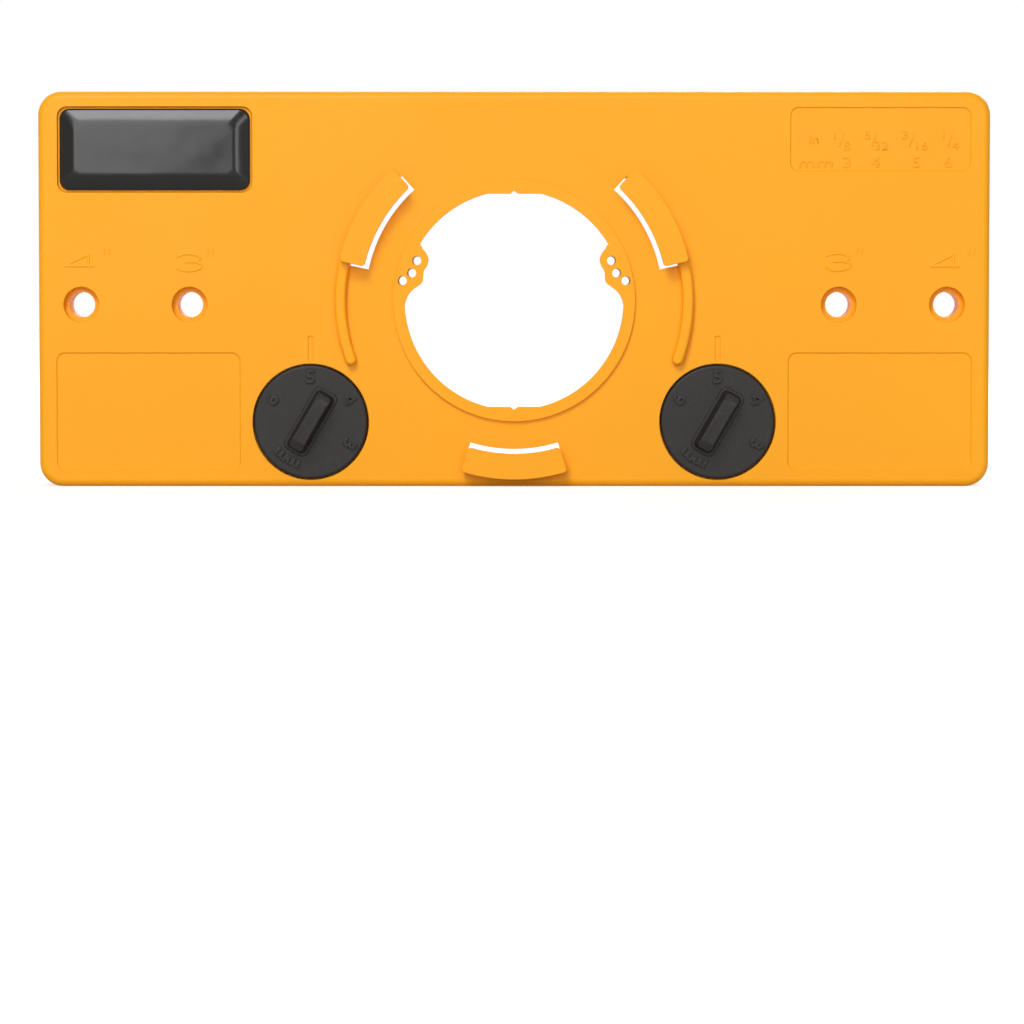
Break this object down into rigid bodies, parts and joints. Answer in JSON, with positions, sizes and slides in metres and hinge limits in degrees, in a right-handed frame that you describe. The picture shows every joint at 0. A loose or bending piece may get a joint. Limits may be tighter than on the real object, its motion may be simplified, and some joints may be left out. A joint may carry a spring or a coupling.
{
  "type": "hinge drilling jig",
  "caption": "Moulded plate jig that guides a cup bit for concealed hinges at a set distance from the door's edge.",
  "frame": {"origin": "middle of the plate's length and of the whole depth, on the surface that the near long edge stands on", "axes": "+X along the plate with the badge at -X, +Y from the front face to the ribbed underside, +Z from the door's edge into the door"},
  "size_m": [0.2232, 0.026, 0.0926],
  "materials": {
    "yellow_abs": "satin, lightly textured",
    "black_abs": "satin",
    "black_gloss": "domed and glossy",
    "turned_steel": "polished",
    "drill_steel": "ground",
    "nickel_plate": "satin nickel"
  },
  "bodies": {
    "jig": {"jig_plate": "yellow_abs", "badge": "black_gloss", "index_pin": "turned_steel", "drill_bit": "drill_steel", "hex_key": "nickel_plate"},
    "dial_left": {"offset_cam_left": "black_abs"},
    "dial_right": {"offset_cam_right": "black_abs"}
  },
  "joints": [
    {"name": "dial_left_turn", "type": "hinge", "parent": "jig", "child": "dial_left", "pos_m": [-0.0478, -0.007, 0.0152], "axis": [0, -1, 0], "range_deg": [-60, 120]},
    {"name": "dial_right_turn", "type": "hinge", "parent": "jig", "child": "dial_right", "pos_m": [0.0478, -0.007, 0.0152], "axis": [0, -1, 0], "range_deg": [-60, 120]}
  ]
}
